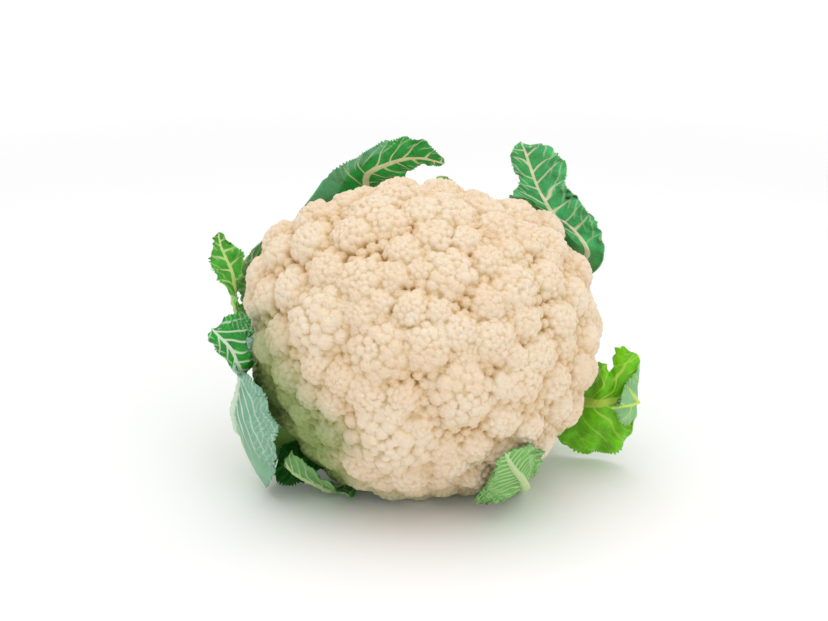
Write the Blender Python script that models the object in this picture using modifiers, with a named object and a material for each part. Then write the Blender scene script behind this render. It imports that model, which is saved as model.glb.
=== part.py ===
"""A trimmed head of cauliflower, lying tipped back on its curd and its cut stalk.

Run with: blender --background --python part.py

The numbers below are millimetres and degrees. The origin is the middle of the flat spot under
the curd, +Z is up, and the crown of the head faces -Y and up. A place on the head is given by
its clock angle about the head's axis (0 at the top, 90 to the right), its polar angle from the
crown, and its distance from the curd's centre.
"""

import math

import bmesh
import bpy
from mathutils import Matrix, Vector

MM = 0.001

# The head's place and attitude
CENTRE = Vector((2.0, 26.0, 75.2))   # the curd's centre
AXIS_RISE = 43.0                     # the crown's angle above the horizontal
AXIS_TURN = 13.5                     # the crown's turn to the right

# The curd
RIM_RADII = (71, 71, 84, 88, 86, 84, 80, 83, 82, 86, 92, 80)  # at each hour from twelve round
CROWN_HEIGHT = 82.0     # centre to crown
SQUARENESS = 2.1        # 2 is an ellipsoid
FLORET_CREST = 0.12     # a floret's rise over the dome, in its own radii
VALLEY = 0.945          # the floor between florets, in dome radii
FILL_FLORETS = 190      # places tried by the filling spiral
FILL_END = 116.0        # the polar angle where the florets end
UNDER_RISE = 0.346      # the slope of the branches under the curd
UNDER_DEPTH = 57.7
UNDER_FLAT = 50.3

# The stalk
STALK_TOP, STALK_END = 50.8, 82.5    # distances behind the curd's centre
STALK_RADIUS = 28.0
STALK_SIDES = 36
BUTT_CHAMFER = 2.5

# The leaves
BLADE = 1.1             # a blade's thickness
RIB = 6.5               # a midrib's thickness at the stalk
LEAF_OFF_CURD = 3.0     # least distance from a leaf to the curd's surface
NEARBY = 0.09           # how far round a leaf's point the curd is felt for, in radians
LEAF_ROWS, LEAF_COLUMNS = 18, 6

# Florets that shape the front: (polar, clock, radius), ring by ring from the crown
FLORETS = (
    (2, 220, 13),
    (14, 345, 9), (13, 35, 7), (14, 80, 8), (17, 140, 8), (16, 205, 6), (17, 300, 8),
    (20, 232, 8), (20, 270, 7),
    (27, 348, 9), (25, 15, 10), (27, 52, 9), (23, 108, 12), (28, 155, 11), (22, 181, 9),
    (28, 205, 12), (27, 252, 6), (31, 272, 12), (28, 320, 9),
    (38, 322, 13), (40, 338, 11), (36, 38, 10), (36, 68, 10), (31, 128, 8), (37, 94, 9),
    (37, 230, 16), (43, 283, 9), (37, 303, 9), (34, 253, 8), (37, 148, 6),
    (43, 181, 18), (43, 160, 6), (46, 150, 12), (43, 135, 10), (45, 112, 9), (47, 208, 7),
    (50, 262, 18), (52, 298, 10), (48, 72, 9), (52, 96, 9), (46, 52, 10),
    (52, 222, 10), (54, 235, 8), (56, 134, 9), (57, 162, 9), (54, 209, 6), (57, 198, 7),
    (58, 280, 10), (59, 246, 8), (60, 312, 12), (56, 325, 10), (55, 350, 11), (54, 12, 11),
    (66, 208, 24), (66, 186, 8), (66, 173, 9), (64, 232, 8), (66, 80, 10), (66, 108, 10),
    (66, 120, 9), (68, 136, 9), (66, 152, 8), (68, 265, 9), (66, 296, 9), (57, 30, 10),
    (64, 60, 10), (69, 241, 8), (74, 253, 9), (74, 182, 11), (72, 162, 8), (71, 282, 9),
    (80, 293, 10), (78, 306, 10), (79, 266, 8), (81, 240, 8), (77, 227, 7), (84, 196, 11),
    (84, 212, 11), (82, 95, 10), (83, 112, 10), (83, 128, 10), (85, 145, 10), (88, 168, 10),
)

# Materials: colour, roughness
CREAM = ((0.80, 0.66, 0.47), 0.62)
PALE_GREEN = ((0.66, 0.70, 0.42), 0.50)
DARK_GREEN = ((0.030, 0.190, 0.050), 0.45)
MID_GREEN = ((0.070, 0.300, 0.045), 0.45)
GREY_GREEN = ((0.180, 0.370, 0.230), 0.55)


def head_frame():
    """The head's side, rise and crown directions, as the columns of a matrix."""
    rise = math.radians(AXIS_RISE)
    crown = Vector((0, -math.cos(rise), math.sin(rise)))
    side = Vector((1, 0, 0))
    turn = Matrix.Rotation(math.radians(AXIS_TURN), 3, "Z")
    return turn @ Matrix((side, crown.cross(side), crown)).transposed()


HEAD = head_frame()


def heading(clock, polar):
    """The head's own direction at a clock and a polar angle."""
    c, p = math.radians(clock), math.radians(polar)
    return Vector((math.sin(p) * math.sin(c), math.sin(p) * math.cos(c), math.cos(p)))


def at(clock, polar, radius):
    return CENTRE + HEAD @ (heading(clock, polar) * radius)


def rim_radius(clock):
    """The rim's radius, eased from one hour's value to the next."""
    hour = (clock % 360) / 30
    low = int(hour) % 12
    blend = (1 - math.cos(math.pi * (hour - int(hour)))) / 2
    return RIM_RADII[low] * (1 - blend) + RIM_RADII[(low + 1) % 12] * blend


def dome_radius(way):
    """The smooth dome under the florets, and the cone of branches behind the rim."""
    across = math.hypot(way.x, way.y)
    rim = rim_radius(math.degrees(math.atan2(way.x, way.y)))
    power = SQUARENESS
    dome = ((across / rim) ** power + (abs(way.z) / CROWN_HEIGHT) ** power) ** (-1 / power)
    if way.z < 0:
        cone = UNDER_DEPTH / (UNDER_RISE * across - way.z)
        dome = min(dome, cone, UNDER_FLAT / -way.z)
    return dome


def all_florets():
    """The named florets, then a golden-angle spiral that fills the space between them."""
    placed = [(heading(clock, polar), float(radius)) for polar, clock, radius in FLORETS]
    lowest = math.cos(math.radians(FILL_END))
    for i in range(FILL_FLORETS):
        height = 1 - (1 - lowest) * (i + 0.5) / FILL_FLORETS
        polar = math.degrees(math.acos(height))
        way = heading(i * 137.508, polar)
        radius = 6.0 + 3.5 * polar / 90
        if all(way.angle(other) * 84 > 0.72 * (radius + size) for other, size in placed):
            placed.append((way, radius))
    return placed


def floret_balls():
    """Each floret as a ball: its direction, its centre's distance and its radius."""
    return [
        (way, dome_radius(way) - radius * (1 - FLORET_CREST), radius)
        for way, radius in all_florets()
    ]


def curd_radius(way, balls):
    """Distance from the centre to the outermost floret, or to the valley floor."""
    reach = dome_radius(way) * VALLEY
    for towards, distance, radius in balls:
        along = way.dot(towards) * distance
        inside = radius * radius - (distance * distance - along * along)
        if inside > 0:
            reach = max(reach, along + math.sqrt(inside))
    return reach


def material(name, look):
    made = bpy.data.materials.new(name)
    made.use_nodes = True
    shader = made.node_tree.nodes["Principled BSDF"]
    shader.inputs["Base Color"].default_value = (*look[0], 1)
    shader.inputs["Roughness"].default_value = look[1]
    shader.inputs["Metallic"].default_value = 0.0
    made.diffuse_color = (*look[0], 1)
    return made


def add_object(name, bm, look, parts):
    bmesh.ops.recalc_face_normals(bm, faces=bm.faces)
    mesh = bpy.data.meshes.new(name)
    bm.to_mesh(mesh)
    bm.free()
    mesh.shade_smooth()
    mesh.materials.append(material(name, look))
    made = bpy.data.objects.new(name, mesh)
    parts.objects.link(made)
    return made


def build_curd(balls, parts):
    """The dome of florets, with a flat spot where it rests."""
    bm = bmesh.new()
    bmesh.ops.create_icosphere(bm, subdivisions=5, radius=1)
    for vert in bm.verts:
        way = vert.co.normalized()
        vert.co = (CENTRE + HEAD @ (way * curd_radius(way, balls))) * MM
    everything = bm.verts[:] + bm.edges[:] + bm.faces[:]
    cut = bmesh.ops.bisect_plane(
        bm, geom=everything, plane_co=(0, 0, 0), plane_no=(0, 0, 1), clear_inner=True, dist=1e-7
    )
    rims = [item for item in cut["geom_cut"] if isinstance(item, bmesh.types.BMEdge)]
    bmesh.ops.holes_fill(bm, edges=rims)
    add_object("curd", bm, CREAM, parts)


def build_stalk(parts):
    """The core: a slightly waisted trunk with a cut butt."""
    profile = (
        (STALK_TOP, STALK_RADIUS - 1.5),
        (STALK_TOP + 12, STALK_RADIUS - 0.5),
        (STALK_END - BUTT_CHAMFER, STALK_RADIUS),
        (STALK_END, STALK_RADIUS - BUTT_CHAMFER),
    )
    bm = bmesh.new()
    rings = []
    for behind, radius in profile:
        ring = []
        for i in range(STALK_SIDES):
            turn = 2 * math.pi * i / STALK_SIDES
            local = Vector((radius * math.sin(turn), radius * math.cos(turn), -behind))
            ring.append(bm.verts.new((CENTRE + HEAD @ local) * MM))
        rings.append(ring)
    for upper, lower in zip(rings, rings[1:]):
        for i in range(STALK_SIDES):
            j = (i + 1) % STALK_SIDES
            bm.faces.new((upper[i], upper[j], lower[j], lower[i]))
    bm.faces.new(rings[0])
    bm.faces.new(rings[-1])
    add_object("stalk", bm, PALE_GREEN, parts)


def station(clock, polar, radius, left, right):
    """A leaf's cross line that follows the head: its left margin, midrib and right margin."""
    mm_a_degree = math.radians(1) * radius * math.sin(math.radians(polar))
    return (
        at(clock - left / mm_a_degree, polar, radius),
        at(clock, polar, radius),
        at(clock + right / mm_a_degree, polar, radius),
    )


# Each leaf's cross lines from the stalk to the tip: left margin, midrib, right margin
LEAVES = {
    "leaf_top_left": (DARK_GREEN, (
        station(343, 157, 80, 12, 12),
        station(342, 132, 90, 15, 15),
        station(339, 108, 93, 20, 24),
        ((-55, 72, 128), (-27, 84, 126), (-13, 84, 126)),
        ((-42, 74, 144), (-26, 77, 138), (-19, 78, 135)),
        ((-30, 72, 151.5), (-24, 72, 144), (-14, 74, 139)),
        ((-18, 68, 160), (-17, 68, 148.5), (-8, 70, 142)),
        ((-7, 62, 164), (-7, 64, 153), (-4, 66, 147)),
        ((4, 57, 163), (3, 60, 154.5), (4, 62, 151)),
        ((13, 55, 155.5), (13, 56, 153), (11, 56, 151)),
    )),
    "leaf_top_back": (MID_GREEN, (
        station(15, 154, 70, 8, 8),
        station(14, 130, 78, 10, 10),
        station(12, 108, 90, 13, 13),
        ((6, 83, 128), (15, 85, 127), (24, 83, 125)),
        ((13, 75, 138), (16, 75, 141.5), (19, 74, 137)),
    )),
    "leaf_top_right": (DARK_GREEN, (
        station(48, 157, 80, 12, 12),
        station(50, 132, 90, 15, 15),
        station(56, 108, 94, 24, 22),
        ((61, 64, 117), (81, 60, 109), (88, 56, 105)),
        ((53, 60, 126), (76, 58, 120), (90, 54, 117)),
        ((44, 50, 133), (67, 55, 127), (85, 54, 127)),
        ((46, 50, 139), (62, 54, 135), (78, 54, 135)),
        ((50, 53, 144), (58, 54, 142.5), (72, 54, 143)),
        ((46.5, 53, 152), (54, 52, 154), (71, 52, 155)),
        ((45.5, 52, 159.5), (51.5, 50, 161.5), (63, 50, 162.5)),
        ((46.5, 50, 165), (49.5, 49, 166), (56, 50, 165)),
    )),
    "leaf_left": (MID_GREEN, (
        station(292, 154, 70, 8, 8),
        station(291, 130, 78, 9, 9),
        station(291, 112, 91, 9, 9),
        ((-89, 28, 90), (-89, 35, 86), (-89, 42, 84)),
        ((-91, 31, 96), (-89, 35, 95), (-87.5, 38, 93)),
        ((-98, 33, 104), (-90, 35, 104), (-87, 36, 101)),
        ((-100, 34, 110), (-93, 35, 112), (-84, 35, 113)),
        ((-98.5, 34, 119), (-95, 34, 118), (-90, 34, 118)),
        ((-98, 33, 124), (-96, 33, 125.5), (-93, 33, 125)),
    )),
    "leaf_left_lower": (GREY_GREEN, (
        station(256, 157, 80, 11, 11),
        station(256, 132, 92, 13, 13),
        ((-74, 8, 2.2), (-83.5, 11, 30), (-76, 28, 42)),
        ((-69, -8, 17), (-86, 3, 40), (-76, 23, 53)),
        ((-67.5, -19, 35), (-87, 0, 47), (-77, 18, 61)),
        ((-66.5, -23, 49), (-85, -1, 55), (-76, 14, 69)),
        ((-72, -18, 62), (-83.5, -1, 62), (-75, 10, 75)),
        ((-79, -10, 67.5), (-83.5, -3, 67), (-74, 6, 80)),
        ((-86, -5, 70), (-85.5, -4, 73), (-74, 3, 86)),
        ((-92.5, -4, 76), (-88, -5, 80), (-79, 1, 92)),
        ((-97, -4, 82.5), (-93, -5, 86), (-85, -1, 96)),
        ((-99, -4, 88), (-97, -4, 90), (-94, -3, 92)),
    )),
    "leaf_floor_dark": (DARK_GREEN, (
        station(226, 153, 68, 8, 8),
        ((-38, 40, 5), (-41, 43, 13), (-43, 48, 22)),
        ((-52, 25, 2.5), (-54, 31, 9), (-55, 38, 18)),
        ((-60, 16, 2), (-62, 20, 8), (-63, 26, 18)),
        ((-65, 17, 2), (-66, 20, 7), (-66, 24, 14)),
        ((-68.5, 20, 2.5), (-68.5, 21, 5.5), (-68, 23, 9)),
    )),
    "leaf_bottom_left": (GREY_GREEN, (
        station(196, 151, 68, 8, 8),
        ((-14, 28, 7), (-20, 32, 5.5), (-26, 34, 3)),
        ((-26, 6, 7), (-32, 13, 4.2), (-36, 17, 2)),
        ((-36, -12, 14), (-42, 2, 4.8), (-44, 10, 3)),
        ((-43, -13, 20), (-47.5, -1, 8), (-48, 7, 5)),
        ((-50, -13, 25.5), (-54, -4, 12.5), (-56, 2, 11)),
        ((-57, -11, 29), (-60.5, -7, 18.5), (-62, -3, 18)),
        ((-62, -9, 29), (-63.5, -8, 24), (-64, -7, 23.5)),
    )),
    "leaf_bottom_right": (GREY_GREEN, (
        station(152, 154, 71, 10, 10),
        ((30, 46, 17), (25, 40, 11), (18, 33, 7)),
        ((46, 30, 13), (40, 23, 9), (33, 17, 5.5)),
        ((53, 8, 14), (48, 3, 9.5), (41, -3, 5.5)),
        ((54, -10, 22), (50, -14, 14), (40, -18, 8)),
        ((55, -20, 30), (48, -24, 23), (32, -23, 9)),
        ((57, -26, 35), (44.5, -34, 31.5), (27, -25, 11)),
        ((57, -31, 39.5), (42, -40, 37.5), (32, -38, 24)),
        ((50, -41, 46), (40.5, -44, 42), (35.5, -45, 37)),
        ((43, -45, 47.5), (39.5, -46, 45), (36.5, -47, 43)),
    )),
    "leaf_right": (MID_GREEN, (
        station(106, 157, 80, 12, 12),
        station(106, 132, 92, 14, 14),
        ((79, 47, 44), (78, 50, 31), (67, 54, 14)),
        ((86, 43, 42), (84, 42, 33), (73, 51, 7)),
        ((88, 39, 50), (88, 36, 35), (80, 50, 4.5)),
        ((90, 35, 58), (92, 33, 36.5), (88, 46, 2.6)),
        ((95, 35, 52), (97, 33, 38), (95, 46, 4.5)),
        ((98, 35, 65), (101, 33, 38), (101, 41, 7)),
        ((105, 34, 64), (105, 32, 38), (105, 39, 14)),
        ((108, 32, 57), (108, 30, 38), (108, 33, 26)),
        ((103, 27, 49), (102, 26, 38), (102, 28, 28)),
        ((96, 25, 40), (95, 25, 37.5), (96, 26, 34)),
    )),
    "leaf_back_right": (GREY_GREEN, (
        station(78, 154, 70, 8, 8),
        station(80, 130, 77, 10, 10),
        station(84, 112, 86, 13, 13),
        station(85, 102, 89, 13, 13),
    )),
    "leaf_back_left": (GREY_GREEN, (
        station(303, 157, 80, 9, 9),
        station(305, 132, 95, 12, 12),
        station(309, 113, 99, 15, 14),
        station(310, 104, 99, 14, 13),
    )),
}


def spline(knots, t):
    """The point at t, from 0 to 1, of a Catmull-Rom curve through the knots."""
    place = t * (len(knots) - 1)
    i = min(int(place), len(knots) - 2)
    f = place - i
    b, c = knots[i], knots[i + 1]
    a = knots[i - 1] if i else b * 2 - c
    d = knots[i + 2] if i + 2 < len(knots) else c * 2 - b
    return (b * 2 + (c - a) * f + (a * 2 - b * 5 + c * 4 - d) * f**2 + (b * 3 - a - c * 3 + d) * f**3) / 2


def off_the_curd(point, balls):
    """The point, moved out along its own radius where it would come too near the curd."""
    arm = point - CENTRE
    way = (HEAD.transposed() @ arm).normalized()
    across = way.orthogonal().normalized() * NEARBY
    around = (way, way + across, way - across, way + way.cross(across), way - way.cross(across))
    least = max(curd_radius(near.normalized(), balls) for near in around) + LEAF_OFF_CURD
    if arm.length < least:
        return CENTRE + arm.normalized() * least
    return point


def build_leaf(name, look, lines, balls, parts):
    """A blade lofted through its cross lines, thick along the midrib towards the outside."""
    rails = [[Vector(line[k]) for line in lines] for k in range(3)]
    bm = bmesh.new()
    weights = bm.verts.layers.deform.new()
    grid = []
    for row in range(LEAF_ROWS + 1):
        t = row / LEAF_ROWS
        left, mid, right = (spline(rail, t) for rail in rails)
        line = []
        for column in range(LEAF_COLUMNS + 1):
            u = 2 * column / LEAF_COLUMNS - 1
            point = mid + (right - left) * u / 2 + (right + left - mid * 2) * u * u / 2
            vert = bm.verts.new(off_the_curd(point, balls) * MM)
            rib = max(0, 1 - 2.4 * abs(u)) * (1 - t) ** 1.3
            vert[weights][0] = (BLADE + (RIB - BLADE) * rib) / RIB
            line.append(vert)
        grid.append(line)
    for low, high in zip(grid, grid[1:]):
        for i in range(LEAF_COLUMNS):
            bm.faces.new((low[i], low[i + 1], high[i + 1], high[i]))
    mesh = bpy.data.meshes.new(name)
    bm.to_mesh(mesh)
    bm.free()
    mesh.shade_smooth()
    mesh.materials.append(material(name, look))
    made = bpy.data.objects.new(name, mesh)
    parts.objects.link(made)
    made.vertex_groups.new(name="thickness")
    shell = made.modifiers.new("blade", "SOLIDIFY")
    shell.thickness = RIB * MM
    shell.offset = 1.0
    shell.vertex_group = "thickness"
    shell.use_even_offset = False
    return made


def main():
    for old in list(bpy.data.objects):
        bpy.data.objects.remove(old)
    parts = bpy.data.collections.new("cauliflower")
    bpy.context.scene.collection.children.link(parts)
    balls = floret_balls()
    build_curd(balls, parts)
    build_stalk(parts)
    for name, (look, lines) in LEAVES.items():
        build_leaf(name, look, lines, balls, parts)


main()
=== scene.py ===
"""The looks of the cauliflower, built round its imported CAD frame.

Lengths are millimetres, times MM where Blender wants metres, and angles are degrees. A place on
the head is given by its clock angle about the head's axis (0 at the top, 90 to the right), its
polar angle from the crown, and its distance from the curd's centre.
"""

import math

import bpy
import numpy as np
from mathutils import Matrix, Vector


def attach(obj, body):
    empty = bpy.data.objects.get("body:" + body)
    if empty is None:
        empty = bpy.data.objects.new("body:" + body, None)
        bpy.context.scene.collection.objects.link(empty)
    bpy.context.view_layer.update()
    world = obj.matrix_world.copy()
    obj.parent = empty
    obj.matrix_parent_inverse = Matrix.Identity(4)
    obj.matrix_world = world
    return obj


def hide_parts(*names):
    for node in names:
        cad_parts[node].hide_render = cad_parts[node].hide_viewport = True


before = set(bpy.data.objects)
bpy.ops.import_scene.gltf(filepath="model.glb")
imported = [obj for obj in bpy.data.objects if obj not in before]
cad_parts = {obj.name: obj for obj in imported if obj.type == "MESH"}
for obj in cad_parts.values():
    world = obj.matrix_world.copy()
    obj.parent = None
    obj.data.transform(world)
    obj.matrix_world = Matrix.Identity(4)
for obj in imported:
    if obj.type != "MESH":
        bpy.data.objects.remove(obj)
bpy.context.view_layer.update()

MM = 0.001
GOLDEN = 137.508

# The head's place and attitude
CENTRE = np.array((2.0, 26.0, 75.2))  # the curd's centre
AXIS_RISE = 43.0                      # the crown's angle above the horizontal
AXIS_TURN = 13.5                      # the crown's turn to the right

# The curd's dome
RIM_RADII = np.array((73, 71, 86, 88, 86, 84, 80, 83, 82, 86, 91, 79), float)  # at each hour
CROWN_HEIGHT = 82.0     # centre to crown
SQUARENESS = 2.1        # 2 is an ellipsoid
FLORET_CREST = 0.12     # a floret's rise over the dome, in its own radii
VALLEY = 0.945          # the floor between the CAD's florets, in dome radii
FILL_FLORETS = 190      # places tried by the spiral that fills the gaps between named florets
FILL_SPACING = 84.0     # the radius at which its distances are taken
FILL_OVERLAP = 0.72     # how close two florets may lie, in the sum of their radii
FILL_END = 116.0        # the polar angle where the florets end
UNDER_RISE = 0.346      # the slope of the cone of branches under the curd
UNDER_DEPTH = 57.7      # that cone's point, behind the centre
UNDER_FLAT = 50.3       # the flat that the stalk meets, behind the centre

# The curd's surface
CUBE_STEPS = 370    # cells along the side of each of the mesh's six patches
CROWD = 0.30            # how much closer the cells lie at the crown than behind
DEEP_VALLEY = 0.91      # the floor between florets, in dome radii
FLORET_SWELL = 1.12     # a floret's ball here, in its CAD radii
FLORET_SINK = 0.9       # how far its top lies under the CAD's, which leaves room for the lobes
FILL_SINK = 2.6         # and how far for a floret that only fills a gap
FLORET_REACH = 75.0     # how far round a floret its lobes go
RIM_REACH, RIM_FROM = 105.0, 72.0     # and on the florets this far round from the crown
LOBE_APEX = (1.1, 0.10, 1.9)    # a lobe's least radius, share of its floret's and most radius,
LOBE_RIM = (2.8, 0.36, 6.6)     # at the floret's apex and at its rim
BEADED = 2.2            # lobes smaller than this bear no beads
BEAD_SIZES = (1.0, 1.4)         # a bead's radius at the lobe's apex and at its foot
BEAD_REACH = 95.0       # how far round a lobe its beads go
LOBE_BEAD_SUNK = 0.78   # how deep a bead sits in a floret's lobe, in its own radii
FILLER_BEAD_SUNK = 0.55         # and in a filler
LOBE_PACKING, BEAD_PACKING = 2.7, 2.5   # area a lobe or a bead takes, in squares of its radius
FILLERS = 1900          # beaded lobes all over the valley floor
FILLER_SIZE = 2.8
FILLER_SEAT = 0.938     # how far out they sit, in dome radii
BRANCHES = 17           # stems under the curd
BRANCH_SUNK = 12.0      # how far inside the dome their tips end
GRAIN = 0.10            # the height of the finest unevenness

# The stalk
STALK_TOP, STALK_END = 48.0, 82.5     # distances behind the curd's centre
STALK_RADIUS = 28.0
STALK_LIP = 2.2         # how far the skin turns in at the cut
CUT_RADIUS = 24.6       # the flat of the cut, inside that lip
CUT_RINGS = 26          # rings of cells across the cut
STRAND_RING = 17.5      # the radius of the ring of strands in the cut
STRANDS = 38

# The leaves
BLADE = 0.8             # a blade's thickness
RIB = 6.0               # a midrib's thickness at the stalk
OFF_FLOOR = 0.15        # the lowest a leaf or the stalk may come
LEAF_OFF_CURD = 1.4     # the least distance from a leaf to the curd
NEARBY = 0.09           # how far round a point, in radians, the curd is looked at for that
LEAF_ROWS, LEAF_COLUMNS = 18, 6       # the loft's own grid
LEAF_STEP = 0.55    # the finished mesh's spacing
TIP_FROM = 0.93         # how far along a leaf the rounding of its tip starts
VEIN_BEND = 0.93        # less than 1 bends the side veins towards the tip
SIDE_VEIN, SIDE_THINS = 0.62, 0.34    # a side vein's half width, and its loss by the margin
FORK_SLOPE, FORK_GAP, FORK_VEIN = 2.1, 0.8, 0.38       # slope, gap in side veins, half width
CROSS_SLOPE, CROSS_GAP, CROSS_VEIN = -0.35, 0.42, 0.28
VEIN_RELIEF = (0.30, 0.32)            # how far veins stand off the inner and the outer side

# The larger florets, from the crown outwards: polar angle, clock angle and radius, each read from
# the photo and rounded
FLORETS = (
    (2, 220, 13),
    (14, 345, 9), (13, 35, 7), (14, 80, 8), (17, 140, 8), (16, 205, 6), (17, 300, 8),
    (20, 232, 8), (20, 270, 7),
    (27, 348, 9), (25, 15, 10), (27, 52, 9), (23, 108, 12), (28, 155, 11), (22, 181, 9),
    (28, 205, 12), (27, 252, 6), (31, 272, 12), (28, 320, 9),
    (38, 322, 13), (40, 338, 11), (36, 38, 10), (36, 68, 10), (31, 128, 8), (37, 94, 9),
    (37, 230, 16), (43, 283, 9), (37, 303, 9), (34, 253, 8), (37, 148, 6),
    (43, 181, 18), (43, 160, 6), (46, 150, 12), (43, 135, 10), (45, 112, 9), (47, 208, 7),
    (50, 262, 18), (52, 298, 10), (48, 72, 9), (52, 96, 9), (46, 52, 10),
    (52, 222, 10), (54, 235, 8), (56, 134, 9), (57, 162, 9), (54, 209, 6), (57, 198, 7),
    (58, 280, 10), (59, 246, 8), (60, 312, 12), (56, 325, 10), (55, 350, 11), (54, 12, 11),
    (66, 208, 24), (66, 186, 8), (66, 173, 9), (64, 232, 8), (66, 80, 10), (66, 108, 10),
    (66, 120, 9), (68, 136, 9), (66, 152, 8), (68, 265, 9), (66, 296, 9), (57, 30, 10),
    (64, 60, 10), (69, 241, 8), (74, 253, 9), (74, 182, 11), (72, 162, 8), (71, 282, 9),
    (80, 293, 10), (78, 306, 10), (79, 266, 8), (81, 240, 8), (77, 227, 7), (84, 196, 11),
    (84, 212, 11), (82, 95, 10), (83, 112, 10), (83, 128, 10), (85, 145, 10), (88, 168, 10),
)


def srgb(red, green, blue):
    """A colour from 0-255 display values, as the linear numbers a shader wants."""
    value = [part / 255 for part in (red, green, blue)]
    return tuple(((v + 0.055) / 1.055) ** 2.4 if v > 0.04045 else v / 12.92 for v in value)


# Colours
CURD_CREAM = srgb(228, 211, 186)
CURD_WARM = srgb(226, 203, 174)
CURD_PALE = srgb(237, 224, 204)
# Painted shade: the crease and hollow colours darken and warm the curd in its creases and deep
# valleys, where shade falls
CURD_CREASE_SHADE = srgb(216, 190, 140)
CURD_HOLLOW_SHADE = srgb(210, 176, 122)
# Partly the curd's own green tint towards the rim and underneath, partly painted shade and a
# painted green reflection of the leaves over the lower left
CURD_GREEN_AND_SHADE = srgb(112, 142, 58)
CURD_STEM = srgb(220, 226, 178)
SHADE_GREEN_FROM, SHADE_GREEN_TO = (203, 230), (286, 262)   # clock angles between which the curd gets painted green shade
SHADE_GREEN_DOWN = (50, 86)            # and the polar angles over which that painted shade deepens
LEAF_BASE = srgb(205, 222, 150)  # where a leaf joins the stalk
STALK_PALE = srgb(214, 224, 170)
STALK_GREEN = srgb(180, 204, 128)
CUT_PALE = srgb(238, 234, 204)
CUT_DRY = srgb(212, 196, 146)

# The floor and the wall that it rises into
FLOOR_PALE, FLOOR_PALER = (0.90, 0.90, 0.90), (0.93, 0.93, 0.93)
FLOOR_SIZE, FLOOR_STEPS = 6400.0, 128
FLOOR_FLAT = 1700.0     # how far out it stays flat
WALL_HEIGHT = 1300.0    # its height at the middle of each edge
FLOOR_FAR = (500.0, 1300.0)      # it starts to glow this far out, and glows fully this far out
FLOOR_GLOW = 0.30

# Each leaf: inner side, outer side, veins, then the ruffle's height, the teeth's depth, the gap
# between side veins, the midrib's width, 1 being a large leaf's, and how much of the leaf is bare
# of teeth. Two more values may follow: the slope of the side veins, and where the left margin
# turns its outer side to the viewer: where that starts, across from -1 to 1 and along from 0 to 1.
LEAF_LOOKS = {
    "leaf_top_left": (
        srgb(8, 164, 60), srgb(92, 168, 122), srgb(214, 214, 172),
        1.2, 0.7, 9, 0.65, 0.35, 0.95, (-0.6, 0.74),
    ),
    "leaf_top_back": (
        srgb(110, 172, 68), srgb(130, 180, 100), srgb(190, 215, 140), 0.8, 0.6, 7, 0.7, 0.35,
    ),
    "leaf_top_right": (
        srgb(62, 184, 104), srgb(120, 172, 124), srgb(228, 226, 192), 1.2, 0.8, 8, 0.4, 0.30,
    ),
    "leaf_left": (
        srgb(70, 182, 44), srgb(110, 185, 84), srgb(208, 228, 150), 0.9, 0.8, 7, 0.45, 0.30,
    ),
    "leaf_left_lower": (
        srgb(14, 158, 30), srgb(126, 178, 150), srgb(210, 226, 202), 1.0, 1.1, 6, 0.6, 0.20, -1.15,
    ),
    # Painted shade: this leaf's colours are darkened to the shade it lies in, under the curd and
    # the other leaves
    "leaf_floor_dark": (
        srgb(10, 104, 12), srgb(16, 108, 18), srgb(60, 136, 44), 0.8, 1.0, 7, 0.6, 0.15,
    ),
    "leaf_bottom_left": (
        srgb(60, 156, 66), srgb(112, 166, 96), srgb(190, 210, 150), 0.9, 1.0, 7, 0.6, 0.2,
    ),
    "leaf_bottom_right": (
        srgb(90, 170, 62), srgb(120, 184, 96), srgb(196, 216, 160), 0.8, 0.8, 4.5, 0.9, 0.25,
    ),
    "leaf_right": (
        srgb(122, 216, 6), srgb(138, 194, 136), srgb(196, 222, 92), 1.1, 0.9, 9, 0.85, 0.25,
    ),
    "leaf_back_right": (
        srgb(80, 160, 60), srgb(124, 176, 120), srgb(205, 220, 165), 1.0, 0.8, 8, 1.0, 0.35,
    ),
    "leaf_back_left": (
        srgb(80, 160, 60), srgb(124, 176, 120), srgb(205, 220, 165), 1.0, 0.8, 8, 1.0, 0.35,
    ),
}

# Light: the sky's strength, and each lamp's place in metres, size in metres and power in watts
SKY = 0.60
LAMPS = (
    ("overhead", (-0.05, 0.0, 1.3), 1.6, 10.5),
    ("front", (0.8, -1.1, 1.0), 1.2, 3.7),
)

# The camera
VIEW_RISE = 20.0
VIEW_LENS = 85.0
VIEW_DISTANCE = 950.0
VIEW_OFFSET = (-3.9, 11.9)  # right and up of the curd's centre


def unit(vectors):
    return vectors / np.linalg.norm(vectors, axis=-1, keepdims=True)


def smooth(low, high, value):
    """0 below low, 1 above high, and eased between."""
    t = np.clip((value - low) / (high - low), 0, 1)
    return t * t * (3 - 2 * t)


def head_frame():
    """The head's side, rise and crown directions, as the columns of a matrix."""
    rise, turn = math.radians(AXIS_RISE), math.radians(AXIS_TURN)
    crown = np.array((0, -math.cos(rise), math.sin(rise)))
    side = np.array((1.0, 0, 0))
    about = np.array(
        ((math.cos(turn), -math.sin(turn), 0), (math.sin(turn), math.cos(turn), 0), (0, 0, 1))
    )
    return about @ np.column_stack((side, np.cross(crown, side), crown))


HEAD = head_frame()


def heading(clock, polar):
    """The head's own directions at clock and polar angles."""
    c, p = np.radians(clock), np.radians(polar)
    return np.stack((np.sin(p) * np.sin(c), np.sin(p) * np.cos(c), np.cos(p)), -1)


def placed(local):
    """Points in the head's own directions, about the curd's centre, in the object's."""
    return CENTRE + local @ HEAD.T


def at(clock, polar, radius):
    return placed(heading(clock, polar) * radius)


def station(clock, polar, radius, left, right):
    """A leaf's cross line that follows the head: its left margin, midrib and right margin."""
    mm_a_degree = math.radians(1) * radius * math.sin(math.radians(polar))
    return (
        at(clock - left / mm_a_degree, polar, radius),
        at(clock, polar, radius),
        at(clock + right / mm_a_degree, polar, radius),
    )


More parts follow.
